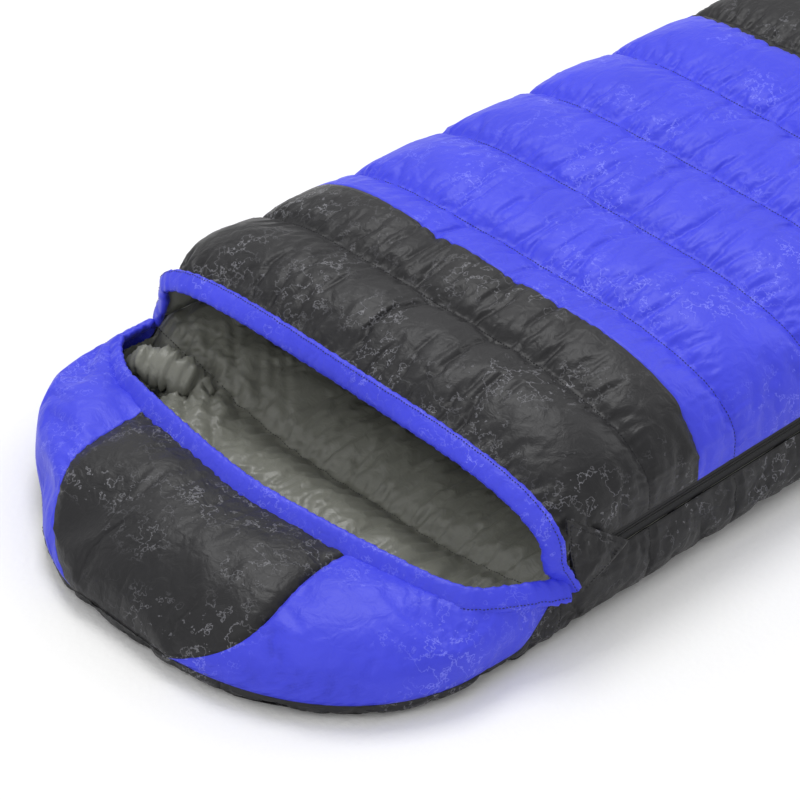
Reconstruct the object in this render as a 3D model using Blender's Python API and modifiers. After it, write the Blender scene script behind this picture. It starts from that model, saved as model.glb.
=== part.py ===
"""Mummy sleeping bag, zipped up and lying flat on its back.

Units are metres, +Z up. The bag lies along Y with the hood at -Y, the zip on the +X side and the
folding seam on the -X side. Every length "along" the bag is counted from the head edge.
"""

import math

import bmesh
import bpy
from mathutils import Matrix, Vector

# Driving dimensions, metres
LENGTH = 2.20
SHOULDER_HALF_WIDTH = 0.403
TAPER = 0.035  # half width lost for each metre below the chest rim
HEAD_ROUND = 0.27  # length of the rounded head end
FOOT_ROUND = 0.34  # length of the rounded foot end
SEAM_HEIGHT = 0.115  # height of the zip and of the folding seam
TOP_RISE = 0.148  # crown of the top quilt above the zip
RIM_RISE = 0.109  # the same at the chest rim, where the quilt is pinched
FOOT_RISE = 0.118  # the same towards the foot, before it rounds down
FOOT_CLOSE = 0.26  # length over which the top quilt comes down to the zip at the foot
CAVITY_CLOSE = 0.36  # the same for the space inside
QUILT_DIP = 0.010  # how far a quilting seam pulls the top quilt down
CAVITY_CEILING = 0.066  # inner crown of the top quilt above the zip
CAVITY_FLOOR = 0.048  # height of the lower lining along the middle
CHEST = 0.42  # chest rim, along
PITCH = 0.166  # from one quilting seam to the next
CHAMBERS = 11
HOOD_RIM = 0.245  # hood rim on the centre line, along
FOOT_CORNER = CHEST + 8 * PITCH  # end of the straight sides
BLUE_START = CHEST + 1.57 * PITCH
BLUE_END = CHEST + 5.85 * PITCH

CLOTH = 0.0012  # shell, lining and tape thickness as modelled
GAP = 0.00035  # clearance between pieces that touch
FILL_GAP = 0.0012  # clearance between the down and the cloth round it
EDGE = 0.012  # thickness of a quilt at its sewn edge
ZIP_HALF = 0.017  # from the middle of the zip to the edge of a quilt
FOLD_HALF = 0.004  # the same at the folding seam, which has no zip
WALL = 0.062  # width of the side chambers
COIL_RADIUS = 0.0016
COIL_OFFSET = 0.0023  # from the middle of the zip to the middle of a coil
ZIP_INSET = 0.004
ZIP_START = 0.447
PULL_LENGTH = 0.030

FAR = -1
NEAR = 1

PARTS = "mummy_sleeping_bag"
CUTTERS = "cutters"


def clear_scene():
    for item in list(bpy.data.objects):
        bpy.data.objects.remove(item, do_unlink=True)


def new_collection(name, hidden=False):
    made = bpy.data.collections.new(name)
    made.hide_render = hidden
    bpy.context.scene.collection.children.link(made)
    return made


def material(name, colour, roughness, metallic=0.0):
    made = bpy.data.materials.new(name)
    made.use_nodes = True
    shader = made.node_tree.nodes["Principled BSDF"]
    shader.inputs["Base Color"].default_value = (*colour, 1.0)
    shader.inputs["Roughness"].default_value = roughness
    shader.inputs["Metallic"].default_value = metallic
    return made


# ---------------------------------------------------------------- outline and heights


def lerp(a, b, share):
    return a + (b - a) * share


def smooth(value, low, high):
    """0 below low, 1 above high, and an even S between."""
    share = min(max((value - low) / (high - low), 0.0), 1.0)
    return share * share * (3 - 2 * share)


def half_width(along):
    """Half the bag's width, rounded off at the head and at the foot."""
    width = SHOULDER_HALF_WIDTH - TAPER * max(0.0, along - CHEST)
    if along < HEAD_ROUND:
        end = 0.985 * (HEAD_ROUND - along) / HEAD_ROUND
        width *= (1 - end**2) ** (1 / 2.4)
    foot_start = LENGTH - FOOT_ROUND
    if along > foot_start:
        end = 0.955 * (along - foot_start) / FOOT_ROUND
        width *= (1 - end**2.6) ** (1 / 2.8)
    return width


def inset_width(along, inset):
    """Half width of the outline moved inwards by a distance square to itself."""
    step = 0.002
    slope = (half_width(along + step) - half_width(along - step)) / (2 * step)
    return half_width(along) - inset * min(math.sqrt(1 + slope * slope), 3.0)


def edge_gap(along, side):
    """Height from the middle of the zip or fold to the quilts' edges; side runs from -1 to 1."""
    zipped = max(smooth(side, -1, 1), smooth(along, FOOT_CORNER - PITCH, FOOT_CORNER))
    return lerp(FOLD_HALF, ZIP_HALF, zipped)


def wall_height(along, side):
    """Top edge of the lower quilt: high along the body and low round the head."""
    body = SEAM_HEIGHT - edge_gap(along, side)
    return lerp(0.018, body, smooth(along, 0.34, 0.44))


def place(x, along, z):
    return Vector((x, along - LENGTH / 2, z))


# ---------------------------------------------------------------- grids


def add_cells(builder, grid, outwards=True):
    """Adds a grid's points and triangles; outwards faces are those of X columns and Y rows, up."""
    points = [[builder.verts.new(point) for point in line] for line in grid]
    for upper, lower in zip(points, points[1:]):
        for c in range(len(upper) - 1):
            for corners in ((upper[c], upper[c + 1], lower[c + 1]), (upper[c], lower[c + 1], lower[c])):
                builder.faces.new(corners if outwards else corners[::-1])
    return points


def offset(grid, distance):
    """The grid moved along its own normals."""
    builder = bmesh.new()
    points = add_cells(builder, grid)
    builder.normal_update()
    moved = [[point.co + point.normal * distance for point in line] for line in points]
    builder.free()
    return moved


def block(grid, rows, columns):
    """The part of a grid between two row numbers and two column numbers, both included."""
    return [line[columns[0] : columns[1] + 1] for line in grid[rows[0] : rows[1] + 1]]


def trimmed(grid, by):
    """The grid with each border pulled in by a distance, so that neighbours don't touch."""
    made = [[point.copy() for point in line] for line in grid]
    for line in made:
        line[0] += (line[1] - line[0]).normalized() * by
        line[-1] += (line[-2] - line[-1]).normalized() * by
    for c in range(len(made[0])):
        made[0][c] += (made[1][c] - made[0][c]).normalized() * by
        made[-1][c] += (made[-2][c] - made[-1][c]).normalized() * by
    return made


def add_object(name, mesh_builder, shade, owner):
    mesh = bpy.data.meshes.new(name)
    mesh_builder.to_mesh(mesh)
    mesh_builder.free()
    made = bpy.data.objects.new(name, mesh)
    made.data.materials.append(shade)
    owner.objects.link(made)
    mesh.shade_smooth()
    return made


def skin(name, grid, shade, outwards=True, trim=GAP):
    """A cloth panel: the grid as an open surface, thickened inwards."""
    builder = bmesh.new()
    add_cells(builder, trimmed(grid, trim), outwards)
    made = add_object(name, builder, shade, parts)
    cloth = made.modifiers.new("cloth", "SOLIDIFY")
    cloth.thickness = CLOTH
    cloth.offset = -1
    return made


def padding(name, upper, lower, shade, trim=0.0006):
    """A filled chamber: the closed body between two grids of the same size."""
    builder = bmesh.new()
    top = add_cells(builder, trimmed(upper, trim))
    low = add_cells(builder, trimmed(lower, trim), outwards=False)
    rows, columns = len(top), len(top[0])

    def close(a, b):
        """Two triangles between the top and low points at grid places a and b."""
        top_a, top_b = top[a[0]][a[1]], top[b[0]][b[1]]
        low_a, low_b = low[a[0]][a[1]], low[b[0]][b[1]]
        if a[0] <= b[0] and a[1] <= b[1]:
            builder.faces.new((top_b, top_a, low_b))
            builder.faces.new((top_a, low_a, low_b))
        else:
            builder.faces.new((top_b, top_a, low_a))
            builder.faces.new((top_b, low_a, low_b))

    for r in range(rows - 1):
        close((r + 1, 0), (r, 0))
        close((r, columns - 1), (r + 1, columns - 1))
    for c in range(columns - 1):
        close((0, c), (0, c + 1))
        close((rows - 1, c + 1), (rows - 1, c))
    return add_object(name, builder, shade, parts)


def tube(name, points, radius, shade, hollow=False):
    """A round roll, cord or coil along a path; hollow makes it an open-ended cloth channel."""
    curve = bpy.data.curves.new(name, "CURVE")
    curve.dimensions = "3D"
    curve.bevel_depth = radius
    curve.bevel_resolution = 2
    curve.use_fill_caps = not hollow
    line = curve.splines.new("POLY")
    line.points.add(len(points) - 1)
    for point, spot in zip(line.points, points):
        point.co = (*spot, 1.0)
    curve.materials.append(shade)
    made = bpy.data.objects.new(name, curve)
    parts.objects.link(made)
    if hollow:
        channel = made.modifiers.new("channel", "SOLIDIFY")
        channel.thickness = CLOTH
        channel.offset = -1
    return made


# ---------------------------------------------------------------- top quilt


def top_rise(along):
    """Outer crown of the top quilt above the zip, dipped at each quilting seam."""
    rise = lerp(RIM_RISE, TOP_RISE, smooth(along, CHEST - 0.02, CHEST + 0.13))
    rise = lerp(rise, FOOT_RISE, smooth(along, 1.4, LENGTH))
    foot_start = LENGTH - FOOT_CLOSE
    if along > foot_start:
        rise *= max(1 - ((along - foot_start) / FOOT_CLOSE) ** 2.4, 0.0) ** (1 / 2.2)
    across_chamber = (along - CHEST) / PITCH
    dip = QUILT_DIP * abs(math.cos(math.pi * across_chamber)) ** 3
    return max(rise - dip * smooth(rise, 0.03, 0.09), 0.0)


def ceiling_rise(along):
    """Inner crown of the top quilt above the zip; it reaches up to meet the chest rim."""
    rise = lerp(RIM_RISE - 0.024, CAVITY_CEILING, smooth(along, CHEST, CHEST + 0.12))
    foot_start = LENGTH - CAVITY_CLOSE
    if along > foot_start:
        rise *= max(1 - ((along - foot_start) / (CAVITY_CLOSE - EDGE)) ** 2.2, 0.0)
    return rise


def top_rows():
    """Stations along the top quilt, and which of them are quilting seams."""
    stations = [(CHEST, True)]
    for chamber in range(CHAMBERS - 1):
        start = CHEST + chamber * PITCH
        middle = start + PITCH / 2
        for change in (BLUE_START, BLUE_END):
            if start < change < start + PITCH:
                middle = change
        stations.append((middle, False))
        stations.append((start + PITCH, True))
    for share in (0.4, 0.75, 1.0):
        stations.append((lerp(CHEST + (CHAMBERS - 1) * PITCH, LENGTH, share), share == 1.0))
    return stations


TOP_COLUMNS = 12


def top_grids():
    outer, inner = [], []
    for along, _ in top_rows():
        outer_line, inner_line = [], []
        inner_along = min(along, LENGTH - EDGE)
        for column in range(TOP_COLUMNS + 1):
            angle = math.pi * column / TOP_COLUMNS
            side = -math.cos(angle)
            low = SEAM_HEIGHT + edge_gap(along, side)
            spread = math.copysign(abs(side) ** 0.5, side)
            arch = math.sin(angle) ** 0.75
            rise = max(top_rise(along) - edge_gap(along, side), 0.0)
            outer_line.append(place(half_width(along) * spread, along, low + rise * arch))
            spread = math.copysign(abs(side) ** 0.62, side)
            arch = math.sin(angle) ** 0.95
            inner_x = inset_width(inner_along, EDGE) * spread
            inner_line.append(place(inner_x, inner_along, low + ceiling_rise(along) * arch))
        outer.append(outer_line)
        inner.append(inner_line)
    return outer, inner


def build_top_quilt():
    rows = top_rows()
    outer, inner = top_grids()
    stations = [along for along, _ in rows]
    blue = stations.index(BLUE_START)
    black = stations.index(BLUE_END)
    last = len(rows) - 1
    every = (0, TOP_COLUMNS)
    skin("shell_top_chest", block(outer, (0, blue), every), black_cloth)
    skin("shell_top_middle", block(outer, (blue, black), every), blue_cloth)
    skin("shell_top_foot", block(outer, (black, last), every), black_cloth)
    skin("lining_top", inner, grey_cloth, outwards=False)
    filled_out = offset(outer, -CLOTH - FILL_GAP)
    filled_in = offset(inner, CLOTH + FILL_GAP)
    seams = [r for r, (_, sewn) in enumerate(rows) if sewn]
    for number, (first, final) in enumerate(zip(seams, seams[1:]), 1):
        span = (first, final)
        padding(
            f"down_top_{number:02d}",
            block(filled_out, span, every),
            block(filled_in, span, every),
            white_down,
        )


# ---------------------------------------------------------------- lower quilt

WALL_STEPS = ((1.0, 0.0), (0.60, -0.008), (0.20, 0.0), (0.0, 0.022))  # share of height, inset
END_INSETS = (0.0, 0.007, 0.014, 0.022)
LINING_INSETS = (EDGE, 0.030, 0.046, WALL)
MIDDLE_SHARES = (0.66, 0.33, 0.0, -0.33, -0.66)


def lower_columns():
    """(side, step, share) of each column: step is its place on the wall, or None in the middle."""
    columns = [(FAR, step, 1.0) for step in range(4)]
    columns += [(0, None, -share) for share in MIDDLE_SHARES]
    columns += [(NEAR, step, 1.0) for step in reversed(range(4))]
    return columns


def lower_rows():
    """(outer along, lining along, step at an end) of each row, from the head to the foot."""
    inset = WALL_STEPS[3][1]
    ends = [(0.0, LINING_INSETS[step], step) for step in range(3)]
    ends += [(inset, LINING_INSETS[3], 3), (0.052, 0.076, None)]
    rows = list(ends)
    rows += [(along, along, None) for along in (0.100, 0.171, 0.254, 0.337)]
    rows += [(along, along, None) for along in (CHEST + number * PITCH for number in range(CHAMBERS))]
    rows += [(LENGTH - outer, LENGTH - lining, step) for outer, lining, step in reversed(ends)]
    return rows


def lining_height(along, side, depth):
    """Height of the lower lining; depth is 0 at the edge and 1 over the flat middle."""
    edge = wall_height(along, side)
    return lerp(edge, CAVITY_FLOOR, depth)


def lining_column(along, inset):
    """How far from the middle a column of the lower lining runs, for its inset on the straight sides."""
    return inset_width(along, EDGE) * (1 - (inset - EDGE) / SHOULDER_HALF_WIDTH)


def lower_grids():
    outer, inner = [], []
    for along, lining_along, row_step in lower_rows():
        outer_line, inner_line = [], []
        end_share, row_inset = WALL_STEPS[row_step] if row_step is not None else (0.0, 0.0)
        toward = 1 if along < LENGTH / 2 else -1
        swell = -row_inset if row_step == 1 else 0.0
        width = half_width(along)
        lining_width = half_width(lining_along)
        for side, step, share in lower_columns():
            low_share, inset = WALL_STEPS[step] if step is not None else (0.0, 0.0)
            bias = side if side else share
            height = wall_height(along, bias)
            firm = height / SEAM_HEIGHT
            if step is None:
                x = share * (width - WALL_STEPS[3][1])
                lining_x = share * lining_column(lining_along, WALL)
            else:
                cut = lerp(inset * (firm if inset < 0 else 1), END_INSETS[step], end_share)
                x = side * (width - cut)
                lining_x = side * lining_column(lining_along, LINING_INSETS[step])
            lift = max(end_share, low_share)
            outer_line.append(place(x, along - toward * swell * firm * (1 - low_share), height * lift))
            across = 1 - (abs(lining_x) / lining_width) ** 2.6
            reach = 0.17 if toward > 0 else 0.24
            from_end = min(lining_along, LENGTH - lining_along) / reach
            lengthwise = 1 - max(1 - from_end, 0.0) ** 2.2
            depth = across * lengthwise
            inner_line.append(
                place(lining_x, lining_along, lining_height(lining_along, bias, depth))
            )
        outer.append(outer_line)
        inner.append(inner_line)
    return outer, inner


def build_lower_quilt():
    outer, inner = lower_grids()
    rows = lower_rows()
    columns = lower_columns()
    last_row, last_column = len(rows) - 1, len(columns) - 1
    whole_rows, whole_columns = (0, last_row), (0, last_column)
    middle_rows, middle_columns = (3, last_row - 3), (3, last_column - 3)
    far_columns, near_columns = (0, 3), (last_column - 3, last_column)
    cover = {"shade": black_cloth, "outwards": False}
    skin("shell_floor", block(outer, middle_rows, middle_columns), trim=0.004, **cover)
    skin("shell_wall_fold_side", block(outer, whole_rows, far_columns), **cover)
    skin("shell_wall_zip_side", block(outer, whole_rows, near_columns), **cover)
    skin("shell_wall_head", block(outer, (0, 3), middle_columns), trim=0.004, **cover)
    skin("shell_wall_foot", block(outer, (last_row - 3, last_row), middle_columns), trim=0.0016, **cover)
    skin("lining_lower", block(inner, whole_rows, whole_columns), grey_cloth)

    filled_out = offset(outer, CLOTH + FILL_GAP)
    filled_in = offset(inner, -CLOTH - FILL_GAP)

    def chamber(name, row_span, column_span):
        padding(
            name,
            block(filled_in, row_span, column_span),
            block(filled_out, row_span, column_span),
            white_down,
            trim=0.005 if row_span[1] == last_row else 0.0025,
        )

    chest_row, foot_row = 9, last_row - 7
    spans = [((0, 7), whole_columns), ((7, chest_row), whole_columns)]
    spans += [((row, row + 1), middle_columns) for row in range(chest_row, foot_row)]
    spans += [((foot_row, foot_row + 1), whole_columns), ((foot_row + 1, last_row), whole_columns)]
    for number, (row_span, column_span) in enumerate(spans, 1):
        chamber(f"down_lower_{number:02d}", row_span, column_span)
    chamber("down_wall_fold_side", (chest_row, foot_row), far_columns)
    chamber("down_wall_zip_side", (chest_row, foot_row), near_columns)


# ---------------------------------------------------------------- hood


def along_path(points, share):
    """The point at a share of a path's length."""
    steps = [(b - a).length for a, b in zip(points, points[1:])]
    target = share * sum(steps)
    for start, end, step in zip(points, points[1:], steps):
        if target <= step:
            return start.lerp(end, target / step)
        target -= step
    return points[-1].copy()


def hood_seam_path(side):
    """The hood's sewn edge, from the middle of the head round to the shoulder."""
    points = [place(0, 0.003, 0.030)]
    for number in range(1, 25):
        along = 0.40 * (number / 24) ** 1.6
        height = wall_height(along, side) + 0.012
        points.append(place(side * (half_width(max(along, 0.003)) - 0.001), max(along, 0.003), height))
    return points


def hood_rim_path(side):
    """The rim of the head opening, from the centre line to the corner by the chest rim."""
    points = []
    for number in range(21):
        x = 0.398 * number / 20
        along = HOOD_RIM + 0.04 * (x / 0.3) ** 1.5 + 0.05 * max(0.0, (x - 0.3) / 0.1) ** 2
        points.append(place(side * x, along, lerp(0.118, 0.103, (x / 0.398) ** 2)))
    points.append(place(side * 0.401, CHEST - 0.034, 0.097))
    return points


PANEL_SEAM_BELOW = 0.150  # share of the sewn edge where the centre panel ends
PANEL_SEAM_ABOVE = 0.500  # share of the rim
HOOD_COLUMNS = 2  # half of the centre panel
HOOD_SIDE_COLUMNS = 6
HOOD_ROWS = (0.0, 0.16, 0.36, 0.62, 1.0)
RIM_STANDOFF = 0.016  # from the hood's edge to the middle of its rim channel


def bent(low, high, reach, climb):
    """The point part of the way between two points, with its own share for the height."""
    return Vector((lerp(low.x, high.x, reach), lerp(low.y, high.y, reach), lerp(low.z, high.z, climb)))


def hood_grids():
    """Outer and inner grids; columns run from the fold side, over the head, to the zip side."""
    shares = []
    for number in range(HOOD_COLUMNS + HOOD_SIDE_COLUMNS + 1):
        if number <= HOOD_COLUMNS:
            part = number / HOOD_COLUMNS
            shares.append((PANEL_SEAM_BELOW * part, PANEL_SEAM_ABOVE * part))
        else:
            part = (number - HOOD_COLUMNS) / HOOD_SIDE_COLUMNS
            shares.append((lerp(PANEL_SEAM_BELOW, 1, part), lerp(PANEL_SEAM_ABOVE, 1, part)))
    ordered = [(FAR, pair) for pair in reversed(shares[1:])] + [(NEAR, pair) for pair in shares]
    outer, inner = [], []
    for row in HOOD_ROWS:
        turn = row * math.pi / 2
        reach = 1 - math.cos(turn) ** 0.95
        climb = math.sin(turn) ** 0.85
        outer_line, inner_line = [], []
        for side, (below, above) in ordered:
            low = along_path(hood_seam_path(side), below)
            high = along_path(hood_rim_path(side), above)
            narrow = smooth(below, 0.72, 1.0)
            crown = 0.012 * math.sin(math.pi * row) * (1 - narrow)
            middle = Vector((0, HOOD_RIM + 0.10 - LENGTH / 2, low.z))
            inwards = (middle - low).normalized()
            low_in = low + inwards * EDGE
            high_in = high + inwards * 0.006 - Vector((0, 0, 0.014))
            climb_in = climb ** lerp(1.7, 1.25, narrow)
            outer_line.append(bent(low, high, reach, climb) + Vector((0, 0, crown)))
            inner_line.append(bent(low_in, high_in, reach, climb_in))
        outer.append(outer_line)
        inner.append(inner_line)
    return outer, inner


def build_hood():
    outer, inner = hood_grids()
    last_row = len(outer) - 1
    last_column = len(outer[0]) - 1
    first_seam = HOOD_SIDE_COLUMNS
    second_seam = HOOD_SIDE_COLUMNS + 2 * HOOD_COLUMNS
    rows = (0, last_row)
    panels = (
        ("fold_side", blue_cloth, (0, first_seam)),
        ("centre", black_cloth, (first_seam, second_seam)),
        ("zip_side", blue_cloth, (second_seam, last_column)),
    )
    for name, cloth, span in panels:
        skin(f"hood_panel_{name}", block(outer, rows, span), cloth)
    padding("down_hood", offset(outer, -CLOTH - FILL_GAP), offset(inner, CLOTH + FILL_GAP), white_down)
    skin("lining_hood", inner, grey_cloth, outwards=False)
    rim = []
    for above, below in zip(outer[-1], inner[-1]):
        middle = (above + below) / 2
        toward = Vector((-middle.x * 0.55, CHEST - 0.02 - LENGTH / 2 - middle.y, 0))
        rim.append(middle + toward.normalized() * RIM_STANDOFF)
    return rim


def build_rims(hood_rim):
    outer, inner = top_grids()
    chest_rim = []
    for above, below in zip(outer[0], inner[0]):
        chest_rim.append((above + below) / 2 - Vector((0, 0.0135, 0)))
    tube("rim_hood", hood_rim, 0.0105, blue_cloth, hollow=True)
    tube("cord_hood_rim", hood_rim, 0.002, black_cord)
    tube("rim_chest", chest_rim, 0.0115, blue_cloth, hollow=True)


# ---------------------------------------------------------------- zip


def zip_path(start=ZIP_START):
    """The zip's line: down the +X side, round the foot and back to the far foot corner."""
    points = []
    straight = 4
    for number in range(straight):
        along = lerp(start, FOOT_CORNER, number / straight)
        points.append(place(half_width(along) - ZIP_INSET, along, SEAM_HEIGHT))
    rounded = 9
    for number in range(rounded + 1):
        along = lerp(FOOT_CORNER, LENGTH - ZIP_INSET, math.sin(math.pi / 2 * number / rounded))
        points.append(place(half_width(along) - ZIP_INSET, along, SEAM_HEIGHT))
    mirrored = [Vector((-p.x, p.y, p.z)) for p in reversed(points[straight:])]
    return points + mirrored[:-1]


def band(name, path, low, high, shade):
    """A flat tape standing on its edge along a path."""
    grid = [[point + Vector((0, 0, low)), point + Vector((0, 0, high))] for point in path]
    made = skin(name, grid, shade, trim=0.0001)
    made.modifiers["cloth"].thickness = 0.001
    made.modifiers["cloth"].offset = 0
    return made


def box(size, centre=(0, 0, 0)):
    """A bmesh holding one box."""
    builder = bmesh.new()
    bmesh.ops.create_cube(builder, size=1.0)
    bmesh.ops.scale(builder, vec=size, verts=builder.verts)
    bmesh.ops.translate(builder, vec=centre, verts=builder.verts)
    return builder


def union(target, name, size, centre):
    """Joins a box to an object, in the object's own axes."""
    cutter = add_object(f"{target.name}_{name}", box(size, centre), target.data.materials[0], cutters)
    cutter.hide_render = True
    cutter.display_type = "WIRE"
    cutter.parent = target
    join = target.modifiers.new(name, "BOOLEAN")
    join.operation = "UNION"
    join.object = cutter
    return cutter


def build_slider(name, origin, heading):
    """A zip slider and its pull. Local +X faces outwards and local +Y runs along the zip."""
    frame = bpy.data.objects.new(f"{name}_frame", None)
    parts.objects.link(frame)
    frame.matrix_world = Matrix.Translation(origin) @ Matrix.Rotation(heading, 4, "Z")
    plate = (0.0012, 0.026, 0.0118)
    body = add_object(name, box(plate, (0.0031, 0, 0)), zinc, parts)
    body.parent = frame
    union(body, "inner_plate", plate, (-0.0031, 0, 0))
    union(body, "web", (0.0066, 0.010, 0.0006), (0, 0, 0))
    for end in (-1, 1):
        union(body, f"bail_post_{end + 1}", (0.0036, 0.0016, 0.0026), (0.0052, end * 0.0058, 0))
    union(body, "bail_bar", (0.0014, 0.0132, 0.0026), (0.0064, 0, 0))
    axis_x = 0.0047
    pivot = bpy.data.objects.new(f"{name}_pull_pivot", None)
    parts.objects.link(pivot)
    pivot.parent = frame
    pivot.location = (axis_x, 0, 0)
    pull = add_object(f"{name}_pull", box((0.0011, 0.0012, 0.0085)), zinc, parts)
    pull.parent = pivot
    for end in (-1, 1):
        union(pull, f"arm_{end + 1}", (0.0011, 0.0110, 0.0014), (0, 0.0050, end * 0.0036))
    union(pull, "tag", (0.0014, PULL_LENGTH, 0.0090), (0, 0.0095 + PULL_LENGTH / 2, 0))
    return frame, body, pull


def build_zip():
    path = zip_path()
    quilt_edge = ZIP_HALF - 0.0016
    coil_edge = COIL_OFFSET + COIL_RADIUS + 0.0003
    band("zip_tape_top", path, coil_edge, quilt_edge, black_tape)
    band("zip_tape_lower", path, -quilt_edge, -coil_edge, black_tape)
    rise = Vector((0, 0, COIL_OFFSET))
    tube("zip_coil_top", [point + rise for point in path], COIL_RADIUS, black_nylon)
    tube("zip_coil_lower", [point - rise for point in path], COIL_RADIUS, black_nylon)
    head_along = ZIP_START + 0.030
    head = place(half_width(head_along) - ZIP_INSET, head_along, SEAM_HEIGHT)
    build_slider("zip_slider_head", head, math.atan(TAPER))
    foot = place(-0.040, LENGTH - ZIP_INSET, SEAM_HEIGHT)
    build_slider("zip_slider_foot", foot, math.pi / 2)
    for end, spot in (("head", path[0]), ("foot", path[-1])):
        direction = path[1] - path[0] if end == "head" else path[-2] - path[-1]
        stop = add_object(f"zip_stop_{end}", box((0.0050, 0.0040, 0.0100)), zinc, parts)
        moved = Matrix.Translation(spot - direction.normalized() * 0.0025)
        stop.matrix_world = moved @ Matrix.Rotation(math.atan2(-direction.x, direction.y), 4, "Z")


# ---------------------------------------------------------------- draught parts and fold seam


def build_draught_parts():
    tube_path = []
    for number in range(9):
        along = lerp(CHEST + 0.10, FOOT_CORNER, number / 8)
        tube_path.append(place(half_width(along) - 0.047, along, SEAM_HEIGHT + 0.010))
    tube("draught_tube", tube_path, 0.015, grey_cloth)
    collar_path = []
    along = CHEST + 0.075
    for number in range(1, 12):
        angle = math.pi * number / 12
        side = -math.cos(angle)
        spread = math.copysign(abs(side) ** 0.62, side)
        height = SEAM_HEIGHT + edge_gap(along, side)
        height += ceiling_rise(along) * math.sin(angle) ** 0.95 - 0.024
        collar_path.append(place((half_width(along) - 0.055) * spread, along, height))
    tube("draught_collar", collar_path, 0.016, grey_cloth)
    fold = [place(-half_width(a), a, SEAM_HEIGHT) for a in (CHEST + 0.004, FOOT_CORNER - PITCH)]
    tube("fold_seam_binding", fold, 0.0030, blue_cloth)


# ---------------------------------------------------------------- corner tab


def flat_patch(name, outline, thickness, shade, matrix):
    """A flat piece with the given outline in local X and Y."""
    curve = bpy.data.curves.new(name, "CURVE")
    curve.dimensions = "2D"
    curve.fill_mode = "BOTH"
    curve.extrude = thickness / 2
    line = curve.splines.new("POLY")
    line.points.add(len(outline) - 1)
    for point, (x, y) in zip(line.points, outline):
        point.co = (x, y, 0, 1)
    line.use_cyclic_u = True
    curve.materials.append(shade)
    made = bpy.data.objects.new(name, curve)
    parts.objects.link(made)
    made.matrix_world = matrix
    return made


def rounded(corners, radius, steps=3):
    """An outline with each corner rounded off by an arc-like run of points."""
    made = []
    count = len(corners)
    for number, corner in enumerate(corners):
        here = Vector(corner)
        before = (Vector(corners[number - 1]) - here).normalized() * radius
        after = (Vector(corners[(number + 1) % count]) - here).normalized() * radius
        for step in range(steps + 1):
            share = step / steps
            start, end = here + before * (1 - share), here + after * share
            made.append(tuple(start.lerp(end, share)))
    return made


TAB_UPPER = (0.3940, 0.440, 0.186)  # x, along, z
TAB_LOWER = (0.4160, 0.522, 0.124)
TAB_TIP = (0.4150, 0.444, 0.086)


def build_tab():
    upper, lower, tip = (place(*spot) for spot in (TAB_UPPER, TAB_LOWER, TAB_TIP))
    hinge = (lower - upper).normalized()
    outward = (tip - upper).cross(hinge).normalized()
    if outward.x < 0:
        outward.negate()
    across = outward.cross(hinge)
    frame = Matrix((hinge, across, outward)).transposed().to_4x4()
    frame.translation = upper
    flat = []
    for point in (upper, lower, tip):
        local = frame.inverted() @ point
        flat.append((local.x, local.y))
    flat_patch("corner_tab", rounded(flat, 0.010), 0.003, black_cloth, frame)
    middle_x = sum(x for x, _ in flat) / 3
    tip_x, tip_y = flat[2]
    patch_x, patch_y = lerp(tip_x, middle_x, 0.45), tip_y * 0.74
    half_x, half_y = 0.011, 0.008
    corners = ((-1, -1), (1, -1), (1, 1), (-1, 1))
    square = [(patch_x + a * half_x, patch_y + b * half_y) for a, b in corners]
    if flat[2][1] < 0:
        square.reverse()
    inside = frame @ Matrix.Translation((0, 0, -0.0026))
    flat_patch("tab_hook_patch", square, 0.0014, black_tape, inside)
    loop = frame @ Matrix.Translation((0, 0, -0.0045))
    flat_patch("tab_loop_patch", square, 0.0014, black_tape, loop)


clear_scene()
parts = new_collection(PARTS)
cutters = new_collection(CUTTERS, hidden=True)
black_cloth = material("black_polyester", (0.028, 0.028, 0.031), 0.45)
blue_cloth = material("blue_polyester", (0.075, 0.080, 0.72), 0.42)
grey_cloth = material("grey_satin_lining", (0.13, 0.13, 0.115), 0.35)
white_down = material("white_down", (0.80, 0.79, 0.76), 0.95)
black_tape = material("black_zip_tape", (0.020, 0.020, 0.022), 0.80)
black_nylon = material("black_nylon", (0.018, 0.018, 0.020), 0.40)
black_cord = material("black_elastic_cord", (0.020, 0.020, 0.022), 0.75)
zinc = material("dark_zinc", (0.20, 0.20, 0.21), 0.35, 1.0)

build_top_quilt()
build_lower_quilt()
build_rims(build_hood())
build_zip()
build_draught_parts()
build_tab()
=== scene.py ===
"""Looks of the mummy sleeping bag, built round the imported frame.

Units are metres, +Z up. The bag lies along Y, hood at -Y, zip on the +X side. "Along" is counted from
the head edge of the bag, so a place's Y is its along less half the length.
"""

import math

import bpy
import numpy as np
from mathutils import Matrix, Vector


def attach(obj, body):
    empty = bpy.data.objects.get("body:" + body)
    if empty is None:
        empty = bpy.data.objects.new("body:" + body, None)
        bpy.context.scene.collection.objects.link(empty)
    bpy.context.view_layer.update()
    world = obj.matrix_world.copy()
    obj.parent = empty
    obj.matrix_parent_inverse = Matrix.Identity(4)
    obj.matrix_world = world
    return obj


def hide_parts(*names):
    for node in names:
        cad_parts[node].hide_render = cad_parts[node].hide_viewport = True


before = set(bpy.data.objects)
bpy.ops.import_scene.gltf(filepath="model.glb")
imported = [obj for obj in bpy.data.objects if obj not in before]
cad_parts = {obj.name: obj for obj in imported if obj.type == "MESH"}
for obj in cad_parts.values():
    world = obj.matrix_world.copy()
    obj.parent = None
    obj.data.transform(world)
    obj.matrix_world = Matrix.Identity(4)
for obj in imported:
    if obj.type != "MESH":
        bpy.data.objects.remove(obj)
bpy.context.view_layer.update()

# ---------------------------------------------------------------- driving dimensions

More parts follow.
